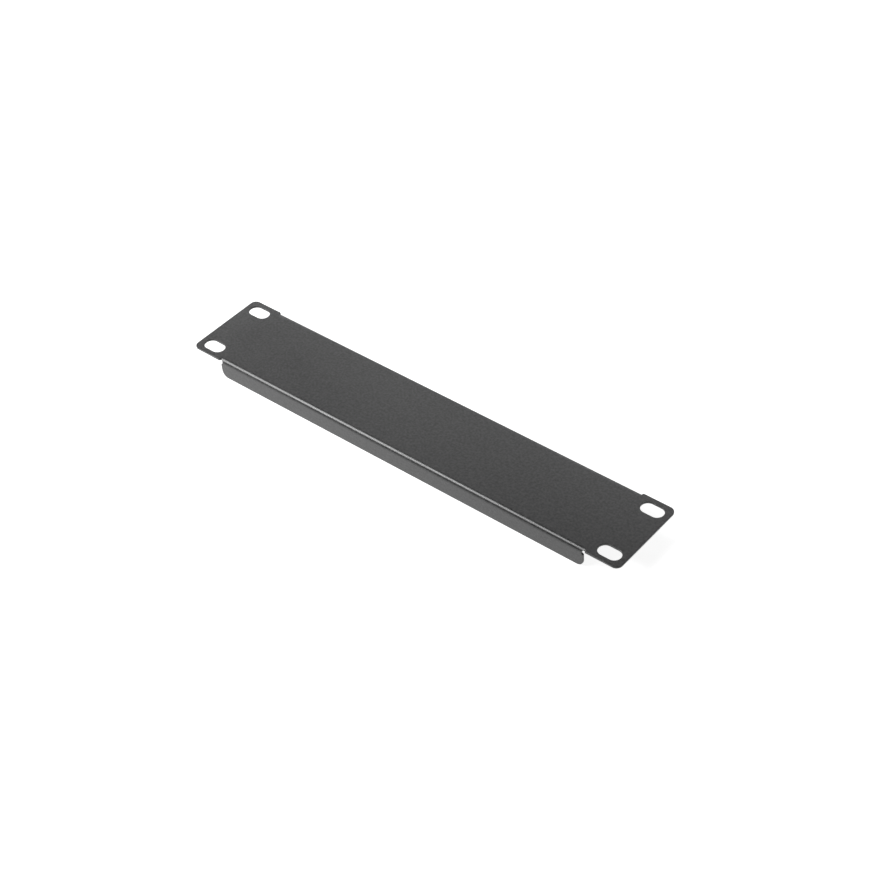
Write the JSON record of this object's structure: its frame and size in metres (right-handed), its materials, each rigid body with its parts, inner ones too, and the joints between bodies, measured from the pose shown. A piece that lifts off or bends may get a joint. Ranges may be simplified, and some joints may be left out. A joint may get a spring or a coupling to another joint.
{
  "type": "rack blanking panel",
  "caption": "Blanking panel one unit high for a ten-inch rack: folded steel sheet with stiffening flanges along both long edges and slotted ears.",
  "frame": {"origin": "centre of the panel, on the surface that the edges of the two flanges rest on", "axes": "+X along the panel, +Y up the rack, +Z out of the front face"},
  "size_m": [0.254, 0.044, 0.0102],
  "materials": {
    "powder_coat": "fine-textured semi-matt dark grey powder coat"
  },
  "bodies": {
    "root": {"panel": "powder_coat"}
  },
  "joints": []
}
